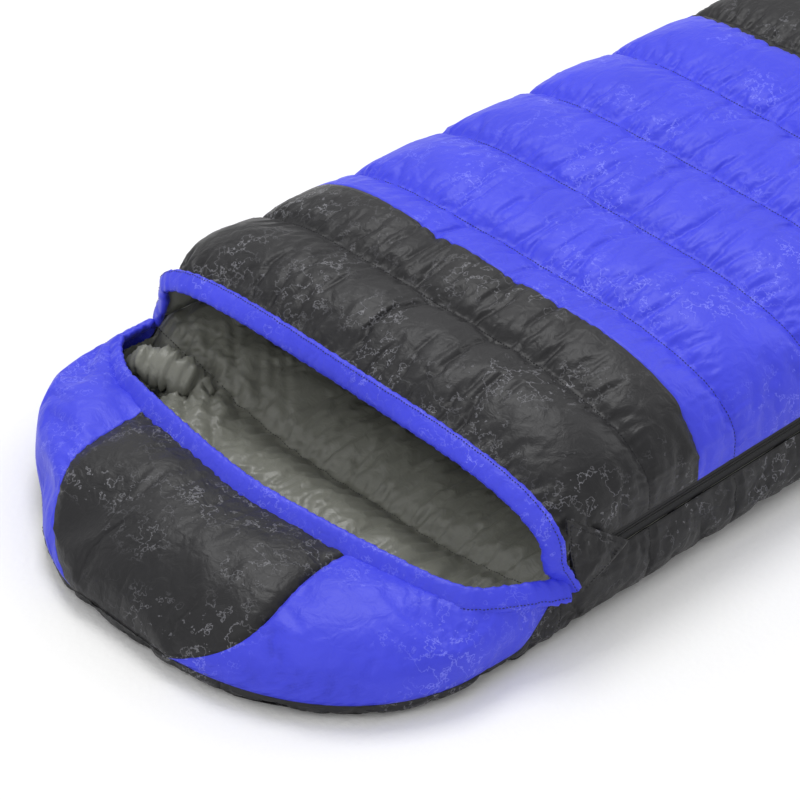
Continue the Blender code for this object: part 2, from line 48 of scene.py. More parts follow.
LENGTH = 2.20
CHEST = 0.42  # chest rim, along
PITCH = 0.166  # from one quilting seam to the next
CHAMBERS = 11
HALF_WIDTH = 0.403  # at the chest rim
TAPER = 0.035  # half width lost for each metre below the chest rim
SEAM_HEIGHT = 0.115  # height of the zip and of the folding seam
BLUE_START = CHEST + 1.57 * PITCH
BLUE_END = CHEST + 5.85 * PITCH
FOOT_CORNER = CHEST + 8 * PITCH
HEAD_ROUND = 0.27
FOOT_ROUND = 0.34
TOP_RISE = 0.143  # the top quilt's seams above the zip
RIM_RISE = 0.108
FOOT_RISE = 0.112
CEILING_RISE = 0.074  # the same for its lining
HOOD_RIM = 0.236  # along, on the centre line
LINING_FLOOR = 0.047
ZIP_GAP = 0.0135  # from the middle of the zip to the edge of a shell
FOLD_GAP = 0.003
OVERHANG = 0.016  # how far the top quilt bulges over the folding seam
FOLD_CLEAR = 0.016  # both quilts draw in beside the folding seam, to leave room when folded open
TOP_ARCH = 0.70  # shape of the top quilt across: 1 is a round arch, less is fuller at the shoulders
WALL_CLOTH = 0.135  # cloth of the side wall, from its upper edge to where it lies under the bag
GROUND_CLEAR = 0.0004
SEAMS = [CHEST + PITCH * number for number in range(CHAMBERS)]  # along
FOOT_SEAM = 0.083  # each of the wall's two seams at the foot, from the centre line
HEAD_SEAMS = [0.010, 0.088, 0.254, CHEST - 0.008]  # of the lower lining, along
ZIP_START = 0.447  # along
ZIP_INSET = 0.004
TOOTH_PITCH = 0.0024
CLOTH = 0.0008
TAB_CLOTH = 0.003
STITCH = 0.0052  # from one stitch to the next
STITCH_SPAN = (0.12, 0.88)  # the share of each stitch's room that its thread takes
STITCH_LIFT = 0.0006
THREAD_RADIUS = 0.0008

# The fold side of the hood lies drawn in: by how much, where along, and over what spread.
DRAWN_IN, DRAWN_IN_AT, DRAWN_IN_SPREAD = 0.056, 0.075, 0.085

# How each cloth is blown up: how much larger than its pattern (least, most), pressure, and most movement.
TOP_SHELL_PUFF = ((0.045, 0.080), 4.0, 0.022)
TOP_LINING_PUFF = ((0.02, 0.02), 2.0, 0.010)
WALL_PUFF = ((0.055, 0.055), 3.0, 0.011)
LOWER_LINING_PUFF = ((0.045, 0.16), 2.5, 0.026)
HOOD_PUFF = ((0.02, 0.06), 3.0, 0.016)
HOOD_LINING_PUFF = ((0.05, 0.05), 1.5, 0.010)
TAB_PUFF = ((0.03, 0.03), 2.0, 0.004)
PUFF_FRAMES = 14

# Gathers along the seams: width of one fold, height, and how far it runs from its seam.
TOP_GATHERS = (0.021, 0.0026, 0.040)
LINING_GATHERS = (0.019, 0.0045, 0.052)

# Half the width and half the thickness of each roll.
HOOD_RIM_ROLL = (0.0175, 0.0062)
CHEST_RIM_ROLL = (0.0165, 0.0062)
DRAUGHT_TUBE_ROLL = (0.015, 0.014)
DRAUGHT_COLLAR_ROLL = (0.016, 0.015)
TUCK_ROLL = (0.030, 0.019)

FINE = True
GRID = 0.006 if FINE else 0.010  # spacing of the cloth's points
ROLL_GRID = GRID * 0.6

# ---------------------------------------------------------------- shapes of the bag


def smooth(value, low, high):
    """0 below low, 1 above high, and an even S between."""
    share = np.clip((value - low) / (high - low), 0.0, 1.0)
    return share * share * (3 - 2 * share)


def mix(a, b, share):
    return a + (b - a) * share


def half_width(along):
    along = np.asarray(along, float)
    width = HALF_WIDTH - TAPER * np.maximum(0.0, along - CHEST)
    head = 0.985 * np.clip((HEAD_ROUND - along) / HEAD_ROUND, 0.0, 1.0)
    foot = 0.955 * np.clip((along - LENGTH + FOOT_ROUND) / FOOT_ROUND, 0.0, 1.0)
    return width * (1 - head**2) ** (1 / 2.4) * (1 - foot**2.6) ** (1 / 2.8)


def edge_gap(along, side):
    """Height from the middle of the zip or fold to a shell's edge; side runs from -1 to 1."""
    zipped = np.maximum(smooth(side, -1, 1), smooth(along, FOOT_CORNER - PITCH, FOOT_CORNER))
    return mix(FOLD_GAP, ZIP_GAP, zipped)


def wall_top(along, side):
    """Upper edge of the lower quilt's wall: at the zip along the body, low round the head."""
    return mix(0.026, SEAM_HEIGHT - edge_gap(along, side), smooth(along, 0.34, 0.44))


def ripple(place, size, seed):
    """An uneven wave from -1 to 1, its bumps about as long as size."""
    total = np.zeros_like(np.asarray(place, float))
    for number, (stretch, height) in enumerate(((1.0, 0.5), (1.73, 0.3), (2.91, 0.2))):
        phase = seed * (2.4 + number) + number * 1.3
        bend = 0.9 * np.sin(place * 2 * math.pi / (size * 3.7) + seed * 1.7 + number)
        total = total + height * np.sin(place * 2 * math.pi * stretch / size + phase + bend)
    return total


def seam_distance(along, seams):
    """How far each place lies from its nearest seam."""
    return np.min([np.abs(along - seam) for seam in seams], axis=0)


def puckers(across, along, seams, size):
    """Slants and dents from -1 to 1 near each seam, about size wide, that make the cloth buckle there."""
    near = np.exp(-((seam_distance(along, seams) / 0.028) ** 2))
    slant = across + 0.35 * np.sin(along * 37) * 0.03
    return near * ripple(slant + 0.05 * np.floor(along / 0.083), size, 4)


def settled(points):
    """The hood's fold side drawn in towards the head, as the bag was laid down."""
    along = points[..., 1] + LENGTH / 2
    moved = points.copy()
    near = np.exp(-(((along - DRAWN_IN_AT) / DRAWN_IN_SPREAD) ** 2))
    moved[..., 0] += DRAWN_IN * smooth(-points[..., 0], 0.0, 0.2) * near
    return moved


def along_lengths(points):
    steps = np.linalg.norm(np.diff(points, axis=0), axis=1)
    return np.concatenate([[0.0], np.cumsum(steps)])


def at_shares(points, shares):
    """Points at shares of a path's length."""
    lengths = along_lengths(points)
    target = np.asarray(shares) * lengths[-1]
    return np.stack([np.interp(target, lengths, points[:, axis]) for axis in range(3)], axis=-1)


def even_values(low, high, line, step):
    """Values from low to high whose points on a line lie a step apart."""
    fine = np.linspace(low, high, 500)
    lengths = along_lengths(line(fine))
    count = max(int(round(lengths[-1] / step)), 2)
    return np.interp(np.linspace(0, lengths[-1], count + 1), lengths, fine)


def rounded_path(corners, step=GRID):
    """A smooth curve through a few points, as evenly spaced points."""
    knots = np.array(corners, float)
    ends = np.vstack([2 * knots[0] - knots[1], knots, 2 * knots[-1] - knots[-2]])
    line = []
    for a, b, c, d in zip(ends, ends[1:], ends[2:], ends[3:]):
        for t in np.linspace(0, 1, 24, endpoint=False):
            line.append(
                0.5 * (2 * b + (c - a) * t + (2 * a - 5 * b + 4 * c - d) * t**2 + (3 * b - a - 3 * c + d) * t**3)
            )
    line = np.array(line + [knots[-1]])
    count = max(int(along_lengths(line)[-1] / step), 4)
    return at_shares(line, np.linspace(0, 1, count + 1))


# ---------------------------------------------------------------- meshes


def placed(name, data):
    """A new object in the scene."""
    made = bpy.data.objects.new(name, data)
    bpy.context.scene.collection.objects.link(made)
    return made


def grid_mesh(name, points, closed=False):
    """A quad mesh through rows and columns of points; it faces columns x rows."""
    rows, columns = points.shape[:2]
    number = np.arange(rows * columns).reshape(rows, columns)
    if closed:
        number = np.concatenate([number, number[:, :1]], axis=1)
    quads = np.stack([number[:-1, :-1], number[:-1, 1:], number[1:, 1:], number[1:, :-1]], axis=-1)
    mesh = bpy.data.meshes.new(name)
    mesh.from_pydata(points.reshape(-1, 3).tolist(), [], quads.reshape(-1, 4).tolist())
    mesh.shade_smooth()
    return placed(name, mesh)


def apply_modifiers(piece):
    done = piece.evaluated_get(bpy.context.evaluated_depsgraph_get())
    mesh = bpy.data.meshes.new_from_object(done)
    piece.modifiers.clear()
    piece.data = mesh
    mesh.shade_smooth()


def dress(piece, body, shade, nodes=(), thickness=None):
    """Gives a piece its thickness and material, and ties it to the frame."""
    if thickness:
        cloth = piece.modifiers.new("cloth", "SOLIDIFY")
        cloth.thickness = thickness
        cloth.offset = -1
        apply_modifiers(piece)
    piece.data.materials.clear()
    piece.data.materials.append(shade)
    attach(piece, body)
    if nodes:
        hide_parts(*nodes)
    return piece


def dashes(name, starts, ends, ups, radius):
    """Threads or teeth, one from each start to its end, thickest in the middle, as one mesh."""
    middle = (starts + ends) / 2
    aside = np.cross(ends - starts, ups)
    aside *= radius / np.linalg.norm(aside, axis=1, keepdims=True)
    lift = ups * radius / np.linalg.norm(ups, axis=1, keepdims=True)
    corners = np.stack([starts, middle + aside, middle + lift, middle - aside, middle - lift, ends], axis=1)
    facets = np.array([(0, 2, 1), (0, 3, 2), (0, 4, 3), (0, 1, 4), (5, 1, 2), (5, 2, 3), (5, 3, 4), (5, 4, 1)])
    faces = (np.arange(len(starts))[:, None, None] * 6 + facets[None]).reshape(-1, 3)
    mesh = bpy.data.meshes.new(name)
    mesh.from_pydata(corners.reshape(-1, 3).tolist(), [], faces.tolist())
    return placed(name, mesh)


def sew(name, lines, body):
    """Stitches along each line, given as its points and the direction the cloth faces at each."""
    starts, ends, ups = [], [], []
    for line, outwards in lines:
        count = max(int(along_lengths(line)[-1] / STITCH), 2)
        number = np.arange(count)
        up = np.stack(
            [np.interp((number + 0.5) / count, np.linspace(0, 1, len(line)), outwards[:, axis]) for axis in range(3)],
            axis=-1,
        )
        up /= np.linalg.norm(up, axis=1, keepdims=True)
        starts.append(at_shares(line, (number + STITCH_SPAN[0]) / count) + up * STITCH_LIFT)
        ends.append(at_shares(line, (number + STITCH_SPAN[1]) / count) + up * STITCH_LIFT)
        ups.append(up)
    made = dashes(name, np.vstack(starts), np.vstack(ends), np.vstack(ups), THREAD_RADIUS)
    return dress(made, body, thread)


def refine(shape, axis):
    """Twice as many points along one axis, on a smooth curve through the old ones."""
    old = np.moveaxis(shape, axis, 0)
    wide = np.concatenate([2 * old[:1] - old[1:2], old, 2 * old[-1:] - old[-2:-1]])
    made = np.empty((2 * len(old) - 1, *old.shape[1:]))
    made[::2] = old
    made[1::2] = (9 * (old[:-1] + old[1:]) - wide[:-3] - wide[3:]) / 16
    return np.moveaxis(made, 0, axis)


def gathered(shape, across, along, seams, gathers, seed=0):
    """The cloth with short sharp folds that run out from each seam, where the stitches draw it up.

    across and along place each point; the folds change from one chamber to the next.
    """
    size, height, reach = gathers
    away = seam_distance(along, seams)
    chamber = sum(np.where(along > seam, 1.0, 0.0) for seam in seams)
    place = across + 0.18 * away * ripple(across, 0.13, 2 + seed) + 0.37 * chamber
    fold = (0.5 + 0.5 * ripple(place, size, 5 + seed)) ** 2 * 1.9 - 0.55
    strength = 0.62 + 0.38 * ripple(place, 0.15, 7 + seed)
    length = reach * (0.75 + 0.35 * ripple(place, 0.07, 9 + seed))
    fade = np.exp(-((away / length) ** 1.5)) * smooth(away, -0.004, 0.007)
    return shape + outward_of(shape) * (height * fold * strength * fade)[..., None]


def outward_of(shape):
    """The direction each point of a grid faces, columns x rows."""
    faced = np.cross(np.gradient(shape, axis=1), np.gradient(shape, axis=0))
    return faced / np.maximum(np.linalg.norm(faced, axis=-1, keepdims=True), 1e-12)


def held_at(shape, rows):
    """1 where the cloth is sewn down, on some rows and on the first and last columns, and 0 elsewhere."""
    held = np.zeros(shape)
    held[rows] = 1
    held[:, [0, -1]] = 1
    return held


def puff(points, held, amounts, loose=None, closed=False):
    """The grid as cloth blown up from behind: held points stay, and the cloth is larger than its pattern.

    amounts is one of the ..._PUFF values; loose, from 0 to 1 at each point, goes from least growth to most.
    """
    (least, most), pressure, cap = amounts
    piece = grid_mesh("simulated", points, closed)
    for title, weights in (("held", held), ("loose", loose)):
        if weights is None:
            continue
        group = piece.vertex_groups.new(name=title)
        steps = np.round(weights.reshape(-1) * 20) / 20
        for weight in np.unique(steps[steps > 0]):
            group.add(np.flatnonzero(steps == weight).tolist(), float(weight), "REPLACE")
    cloth = piece.modifiers.new("cloth", "CLOTH")
    settings = cloth.settings
    settings.quality = 5
    settings.mass = 0.15
    settings.tension_stiffness = 12
    settings.compression_stiffness = 12
    settings.shear_stiffness = 4
    settings.bending_stiffness = 0.05
    settings.tension_damping = 6
    settings.compression_damping = 6
    settings.vertex_group_mass = "held"
    settings.shrink_min = -least
    settings.shrink_max = -most
    if loose is not None:
        settings.vertex_group_shrink = "loose"
    settings.use_pressure = True
    settings.uniform_pressure_force = pressure
    settings.effector_weights.gravity = 0
    cloth.point_cache.frame_start = 1
    cloth.point_cache.frame_end = PUFF_FRAMES
    for number in range(1, PUFF_FRAMES + 1):
        bpy.context.scene.frame_set(number)
    done = piece.evaluated_get(bpy.context.evaluated_depsgraph_get())
    flat = np.empty(len(done.data.vertices) * 3, np.float32)
    done.data.vertices.foreach_get("co", flat)
    bpy.data.objects.remove(piece, do_unlink=True)
    bpy.context.scene.frame_set(1)
    moved = flat.reshape(points.shape).astype(float) - points
    length = np.linalg.norm(moved, axis=-1, keepdims=True)
    return points + moved * np.minimum(1, cap / np.maximum(length, 1e-9))


# ---------------------------------------------------------------- materials


def colour(code):
    """Linear RGBA from an sRGB hex code."""
    made = []
    for start in (0, 2, 4):
        part = int(code[start : start + 2], 16) / 255
        made.append(part / 12.92 if part <= 0.04045 else ((part + 0.055) / 1.055) ** 2.4)
    return (*made, 1.0)


def add(tree, kind, inputs=None, **settings):
    """Adds a node; inputs maps a socket to a value or to another node's output."""
    made = tree.nodes.new(kind)
    for key, value in settings.items():
        setattr(made, key, value)
    for socket, value in (inputs or {}).items():
        if isinstance(value, bpy.types.NodeSocket):
            tree.links.new(value, made.inputs[socket])
        else:
            made.inputs[socket].default_value = value
    return made


def new_material(name):
    """A material, its nodes, its shader, and the place on the piece that its patterns follow."""
    made = bpy.data.materials.new(name)
    made.use_nodes = True
    tree = made.node_tree
    return made, tree, tree.nodes["Principled BSDF"], add(tree, "ShaderNodeTexCoord").outputs["Object"]


def polyester(name, base, dark, glint, roughness, pattern):
    """Polyester taffeta, densely woven and calendered: a soft satin gleam over small creases.

    glint is a painted highlight, mixed into the colour along the wavy lines pressed into it; pattern is how strongly
    they show.
    """
    made, tree, shader, place = new_material(name)
    # Contour lines of a noise with 42 mm bumps give the wavy pattern pressed into the cloth.
    field = add(tree, "ShaderNodeTexNoise", {"Vector": place, "Scale": 1 / 0.042, "Detail": 4.0, "Roughness": 0.66})
    steps = add(tree, "ShaderNodeMath", {0: field.outputs[0], 1: 11.0}, operation="MULTIPLY")
    wave = add(tree, "ShaderNodeMath", {0: steps.outputs[0], 1: 1.0}, operation="PINGPONG")
    line = add(
        tree,
        "ShaderNodeMapRange",
        {"Value": wave.outputs[0], "From Min": 0.16, "From Max": 0.03, "To Min": 0.0, "To Max": 1.0},
    )
    # It shows in patches some 140 mm across and wears off between them.
    patch = add(tree, "ShaderNodeTexNoise", {"Vector": place, "Scale": 1 / 0.14, "Detail": 2.0})
    worn = add(
        tree,
        "ShaderNodeMapRange",
        {"Value": patch.outputs[0], "From Min": 0.46, "From Max": 0.62, "To Min": 0.0, "To Max": pattern},
    )
    pressed = add(tree, "ShaderNodeMath", {0: line.outputs[0], 1: worn.outputs[0]}, operation="MULTIPLY")
    # Slow shading from uneven fill and handling, over spans of about 90 mm.
    cloud = add(tree, "ShaderNodeTexNoise", {"Vector": place, "Scale": 1 / 0.09, "Detail": 4.0})
    ground = add(
        tree,
        "ShaderNodeMix",
        {"Factor": cloud.outputs[0], 6: colour(dark), 7: colour(base)},
        data_type="RGBA",
    )
    # Painted highlight: the pressed lines are coloured lighter, towards glint, as if they caught the light.
    painted_glint_colour = add(
        tree,
        "ShaderNodeMix",
        {"Factor": pressed.outputs[0], 6: ground.outputs[2], 7: colour(glint)},
        data_type="RGBA",
    )
    rough = add(
        tree,
        "ShaderNodeMapRange",
        {"Value": pressed.outputs[0], "To Min": roughness, "To Max": roughness * 0.6},
    )
    # Creases about 20 mm across and a weave drawn at 1.6 mm, coarse enough to show.
    crease = add(
        tree, "ShaderNodeTexNoise", {"Vector": place, "Scale": 1 / 0.022, "Detail": 5.0, "Distortion": 0.6}
    )
    weave = add(tree, "ShaderNodeTexNoise", {"Vector": place, "Scale": 1 / 0.0016, "Detail": 1.0})
    normal = {}
    for height, strength, distance in ((crease, 0.45, 0.006), (weave, 0.10, 0.0008), (pressed, 0.35, 0.0012)):
        relief = {"Height": height.outputs[0], "Strength": strength, "Distance": distance}
        raised = add(tree, "ShaderNodeBump", relief | normal)
        normal = {"Normal": raised.outputs[0]}
    for socket, output in (
        ("Base Color", painted_glint_colour.outputs[2]),
        ("Roughness", rough.outputs[0]),
        ("Normal", raised.outputs[0]),
    ):
        tree.links.new(output, shader.inputs[socket])
    shader.inputs["IOR"].default_value = 1.43
    shader.inputs["Sheen Weight"].default_value = 0.05
    shader.inputs["Sheen Roughness"].default_value = 0.4
    return made


def plain(name, base, roughness, metallic=0.0, grain=0.0008):
    """A material of one colour with fine grain, matt for woven tape and thread, smoother for nylon and zinc."""
    made, tree, shader, place = new_material(name)
    noise = add(tree, "ShaderNodeTexNoise", {"Vector": place, "Scale": 1 / grain, "Detail": 2.0})
    rough = add(
        tree,
        "ShaderNodeMapRange",
        {"Value": noise.outputs[0], "To Min": roughness * 0.85, "To Max": roughness * 1.15},
    )
    bump = add(tree, "ShaderNodeBump", {"Height": noise.outputs[0], "Strength": 0.2, "Distance": grain / 2})
    tree.links.new(rough.outputs[0], shader.inputs["Roughness"])
    tree.links.new(bump.outputs[0], shader.inputs["Normal"])
    shader.inputs["Base Color"].default_value = colour(base)
    shader.inputs["Metallic"].default_value = metallic
    return made


# The last colour of each polyester is the painted highlight of its pressed lines.
black_cloth = polyester("polyester_taffeta_black", "1c1c1f", "131215", "7c7c82", 0.46, 0.75)
blue_cloth = polyester("polyester_taffeta_blue", "4248e8", "353cd3", "8a90ff", 0.47, 0.5)
grey_cloth = polyester("polyester_satin_grey", "888980", "76776e", "a8a9a2", 0.33, 0.0)
black_tape = plain("woven_polyester_tape_black", "1c1c1f", 0.8)
black_nylon = plain("moulded_nylon_black", "141416", 0.4)
zinc = plain("painted_zinc_black", "26262a", 0.4, metallic=0.6)
thread = plain("spun_polyester_thread_dark", "202024", 0.7)

# ---------------------------------------------------------------- top quilt


def top_rise(along):
    rise = mix(RIM_RISE, TOP_RISE, smooth(along, CHEST - 0.02, CHEST + 0.12))
    rise = mix(rise, FOOT_RISE, smooth(along, 1.4, LENGTH))
    end = np.clip((along - LENGTH + 0.26) / 0.26, 0, 1)
    return rise * (1 - end**2.4) ** (1 / 2.2)


def top_point(along, angle):
    """A point of the top quilt's outside; angle runs from 0 at the fold to pi at the zip.

    Behind the chest rim the fold side is fuller, and right above the fold it is drawn in.
    """
    side = -np.cos(angle)
    gap = edge_gap(along, side)
    x = half_width(along) * np.sign(side) * np.abs(side) ** 0.5
    fuller = 1 + 1.1 * np.exp(-(((along - CHEST - 0.05) / 0.07) ** 2)) * smooth(along, CHEST, CHEST + 0.03)
    height = np.maximum(top_rise(along) - gap, 0) * np.sin(angle) ** TOP_ARCH
    bulge = OVERHANG * fuller * smooth(height, 0.045, 0.095) - FOLD_CLEAR * np.exp(-(((height - 0.03) / 0.024) ** 2))
    x = x - bulge * (side < 0) * np.abs(side) ** 0.5
    z = SEAM_HEIGHT + gap + height
    return np.stack([x, along - LENGTH / 2 + 0 * x, z], axis=-1)


def ceiling_point(along, angle):
    """A point of the top quilt's lining."""
    side = -np.cos(angle)
    deep = smooth(along, CHEST, CHEST + 0.11)
    rise = mix(RIM_RISE - 0.016, CEILING_RISE, deep)
    end = np.clip((along - LENGTH + 0.36) / (0.36 - 0.010), 0, 1)
    rise = rise * (1 - end**2.2)
    x = (half_width(along) - mix(0.011, 0.012, deep)) * np.sign(side) * np.abs(side) ** mix(0.5, 0.62, deep)
    height = rise * np.sin(angle) ** mix(0.72, 0.95, deep)
    x = x + (FOLD_CLEAR + 0.003) * np.exp(-(((height - 0.03) / 0.026) ** 2)) * (side < 0) * np.abs(side) ** 0.5
    z = SEAM_HEIGHT + edge_gap(along, side) + height
    return np.stack([x, along - LENGTH / 2 + 0 * x, z], axis=-1)


def seamed_rows(seams, line, step):
    """Stations along a quilt with one on every seam, and which stations are seams."""
    rows, sewn = [], []
    for start, end in zip(seams, seams[1:]):
        between = even_values(start, end, line, step)
        rows += list(between[:-1])
        sewn += [1] + [0] * (len(between) - 2)
    return np.array(rows + [seams[-1]]), np.array(sewn + [1])


def build_top_shell():
    seams = SEAMS + [LENGTH - 0.002]
    rows, sewn = seamed_rows(seams, lambda a: top_point(a, np.full_like(a, math.pi / 2)), GRID)
    for change in (BLUE_START, BLUE_END):
        rows[np.argmin(abs(rows - change))] = change
    angles = even_values(0, math.pi, lambda a: top_point(np.full_like(a, 0.9), a), GRID)
    along, angle = np.meshgrid(rows, angles, indexing="ij")
    wander = 0.0022 * ripple(angle, 0.9, 3) * np.sin(np.clip(along - CHEST, 0, PITCH) / PITCH * math.pi / 2)
    points = top_point(np.clip(along + wander, CHEST, LENGTH), angle)
    middle = np.sin(angle) ** 0.6
    valley = np.exp(-((seam_distance(along, seams[1:-1]) / 0.016) ** 2))
    gathers = puckers(points[..., 0] + points[..., 2], along, seams[:-1], 0.030)
    points[..., 2] += middle * (0.0024 * gathers * (1 - 0.8 * valley) - 0.0085 * valley)
    held = held_at(along.shape, sewn == 1)
    pinched = np.exp(-(((along - CHEST) / 0.05) ** 2))
    towards_zip = smooth(-np.cos(angle), 0.55, 1.0) * 0.6 + smooth(np.cos(angle), 0.6, 1.0) * 0.5
    loose = np.clip(pinched + towards_zip, 0, 1)
    shape = puff(points, held, TOP_SHELL_PUFF, loose)
    if FINE:
        shape, along, angle = (refine(values, 1) for values in (shape, along, angle))
    round_it = along_lengths(shape[len(shape) // 4])[None] + 0 * along
    shape = gathered(shape, round_it, along, seams[:-1], TOP_GATHERS)
    outwards = outward_of(shape)
    sewn[[0, -1]] = 0
    sew("top_stitches", [(shape[row], outwards[row]) for row in np.flatnonzero(sewn)], "top_quilt")
    blue = int(np.argmin(abs(rows - BLUE_START)))
    black = int(np.argmin(abs(rows - BLUE_END)))
    spans = (
        ("chest", 0, blue, black_cloth, "black_polyester", range(1, 3)),
        ("middle", blue, black, blue_cloth, "blue_polyester", range(3, 7)),
        ("foot", black, len(rows) - 1, black_cloth, "black_polyester", range(7, 12)),
    )
    for title, first, last, shade, slot, fills in spans:
        piece = grid_mesh(f"top_shell_{title}", shape[first : last + 1])
        nodes = [f"shell_top_{title}"] + [f"down_top_{number:02d}" for number in fills]
        dress(piece, "top_quilt", shade, nodes, thickness=CLOTH)


def build_top_lining():
    seams = SEAMS + [LENGTH - 0.012]
    step = GRID * 1.6
    rows, sewn = seamed_rows(seams, lambda a: ceiling_point(a, np.full_like(a, math.pi / 2)), step)
    angles = even_values(math.pi, 0, lambda a: ceiling_point(np.full_like(a, 0.9), a), step)
    along, angle = np.meshgrid(rows, angles, indexing="ij")
    points = ceiling_point(along, angle)
    held = held_at(along.shape, sewn == 1)
    shape = puff(points, held, TOP_LINING_PUFF)
    # Its front edge is sewn into the chest rim.
    front = top_point(np.full_like(angles, CHEST), angles) - (0, 0.010, 0.004)
    piece = grid_mesh("top_lining", np.concatenate([front[None], shape]))
    dress(piece, "top_quilt", grey_cloth, ["lining_top"], thickness=CLOTH)


# ---------------------------------------------------------------- lower quilt


def outline(step):
    """Points round the bag, head to foot on the far side and back on the zip side, and their outward turns."""
    along = LENGTH * (1 - np.cos(np.linspace(0, math.pi, 900))) / 2
    far = np.stack([-half_width(along), along, 0 * along], axis=-1)
    loop = np.concatenate([far, far[::-1] * (-1, 1, 1), far[:1]])
    count = int(along_lengths(loop)[-1] / step)
    ring = at_shares(loop, np.linspace(0, 1, count, endpoint=False))
    spread = max(int(0.012 / step), 1)
    for _ in range(3):
        ring = sum(np.roll(ring, shift, axis=0) for shift in range(-spread, spread + 1)) / (2 * spread + 1)
    ahead = np.roll(ring, -1, axis=0) - np.roll(ring, 1, axis=0)
    ahead /= np.linalg.norm(ahead, axis=1, keepdims=True)
    outwards = np.stack([-ahead[:, 1], ahead[:, 0], 0 * ahead[:, 0]], axis=-1)
    return ring, outwards


# The wall from its upper edge down: share of the cloth, share of the height, how far inside the outline.
WALL_PROFILE = (
    (0.0, 1.0, 0.0),
    (0.25, 0.80, -0.005),
    (0.5, 0.5, -0.006),
    (0.7, 0.22, 0.003),
    (0.85, 0.05, 0.014),
    (1.0, 0.0, 0.036),
)


def build_wall():
    ring, outwards = outline(GRID)
    side = np.sign(ring[:, 0]) * smooth(abs(ring[:, 0]), 0.0, 0.05)
    tops = wall_top(ring[:, 1], side)
    shares = np.linspace(0, 1, int(WALL_CLOTH / GRID))
    cloth, heights, insets = np.array(WALL_PROFILE).T
    lift = np.interp(shares, cloth, heights)[:, None]
    inset = np.interp(shares, cloth, insets)[:, None]
    firm = (tops / SEAM_HEIGHT)[None, :]
    inset = np.where(inset < 0, inset * firm, inset) + 0.010 * (1 - firm) * np.sin(math.pi * shares)[:, None]
    inset = inset + FOLD_CLEAR * np.sin(math.pi * shares)[:, None] * (side < 0) * smooth(ring[:, 1], 0.36, 0.44)
    points = ring[None] - outwards[None] * inset[..., None]
    points[..., 2] = tops[None] * lift
    points[..., 1] -= LENGTH / 2
    points = settled(points)
    held = np.zeros(points.shape[:2])
    held[0] = 1
    held[-2:] = 1
    for sign in (-1, 1):
        mine = np.sign(ring[:, 0]) == sign
        for seam in SEAMS[:10]:
            miss = np.where(mine, abs(ring[:, 1] - seam), 9.0)
            held[:, int(np.argmin(miss))] = 1
    foot = np.abs(ring[:, 1] - LENGTH) < 0.09
    for x in (-FOOT_SEAM, FOOT_SEAM):
        held[:, int(np.argmin(np.where(foot, abs(ring[:, 0] - x), 9.0)))] = 1
    shape = puff(points, held, WALL_PUFF, closed=True)
    # Upright wrinkles hang from the upper edge and fade towards the ground.
    level = shape[..., 2] / np.maximum(tops[None], 0.02)
    drawn = ripple(along_lengths(ring)[None] + 0.012 * ripple(level, 0.9, 3), 0.024, 6)
    drawn = 0.0022 * drawn * np.exp(-(((1 - level) / 0.45) ** 2)) * smooth(1 - level, 0, 0.1)
    shape = shape + outward_of(shape) * (drawn * firm)[..., None]
    shape[..., 2] = np.maximum(shape[..., 2], GROUND_CLEAR)
    outwards = outward_of(shape)
    sewn = np.flatnonzero(held[len(held) // 2])
    lines = [(shape[:-2, column], outwards[:-2, column]) for column in sewn]
    sew("wall_stitches", lines, "lower_quilt")
    columns = np.arange(len(ring))
    head = ring[:, 1] < 0.02
    foot = ring[:, 1] > LENGTH - 0.02
    for title, mask in (
        ("head", head),
        ("foot", foot),
        ("fold_side", ~head & ~foot & (ring[:, 0] < 0)),
        ("zip_side", ~head & ~foot & (ring[:, 0] > 0)),
    ):
        found = columns[mask]
        gap = np.flatnonzero(np.diff(found) > 1)
        if len(gap):
            found = np.roll(found, -(gap[0] + 1))
        found = np.append(found, (found[-1] + 1) % len(ring))
        piece = grid_mesh(f"lower_wall_{title}", shape[:, found])
        nodes = [f"shell_wall_{title}"]
        nodes += [f"down_wall_{title}"] if title.endswith("side") else []
        dress(piece, "lower_quilt", black_cloth, nodes, thickness=CLOTH)


def build_floor_panel():
    """The underside, flat on the ground, with its quilting seams drawn up a little."""
    rows = np.linspace(0.034, LENGTH - 0.034, int(2.13 / (GRID * 2)))
    shares = np.linspace(1, -1, int(0.7 / (GRID * 2)))
    along, share = np.meshgrid(rows, shares, indexing="ij")
    x = share * (half_width(along) - 0.032)
    seam = np.abs((along - CHEST) / PITCH - np.round((along - CHEST) / PITCH)) * PITCH
    drawn = 0.004 * np.exp(-((seam / 0.012) ** 2)) * smooth(1 - np.abs(share), 0.0, 0.12)
    z = GROUND_CLEAR + drawn * (along > CHEST - 0.01)
    points = settled(np.stack([x, along - LENGTH / 2, z], axis=-1))
    piece = grid_mesh("lower_floor_panel", points)
    dress(piece, "lower_quilt", black_cloth, ["shell_floor"], thickness=-CLOTH)


def inner_width(along, inset):
    """Half width of a line that stays inset inside the outline, also where the outline curves."""
    slope = (half_width(along + 0.002) - half_width(along - 0.002)) / 0.004
    return half_width(along) - inset * np.minimum(np.sqrt(1 + slope * slope), 3.0)


def lining_point(along, share):
    """A point of the lower lining; share runs from -1 at the fold to 1 at the zip."""
    edge = wall_top(along, share) - 0.001
    across = 1 - np.abs(share) ** 2.8
    from_end = np.minimum(along, LENGTH - along) / np.where(along < LENGTH / 2, 0.15, 0.24)
    depth = across * (1 - np.maximum(1 - from_end, 0.0) ** 2.2)
    x = share * inner_width(along, mix(0.009, 0.0035, smooth(np.abs(share), 0.92, 1.0)))
    return np.stack([x, along - LENGTH / 2 + 0 * x, mix(edge, LINING_FLOOR, depth)], axis=-1)


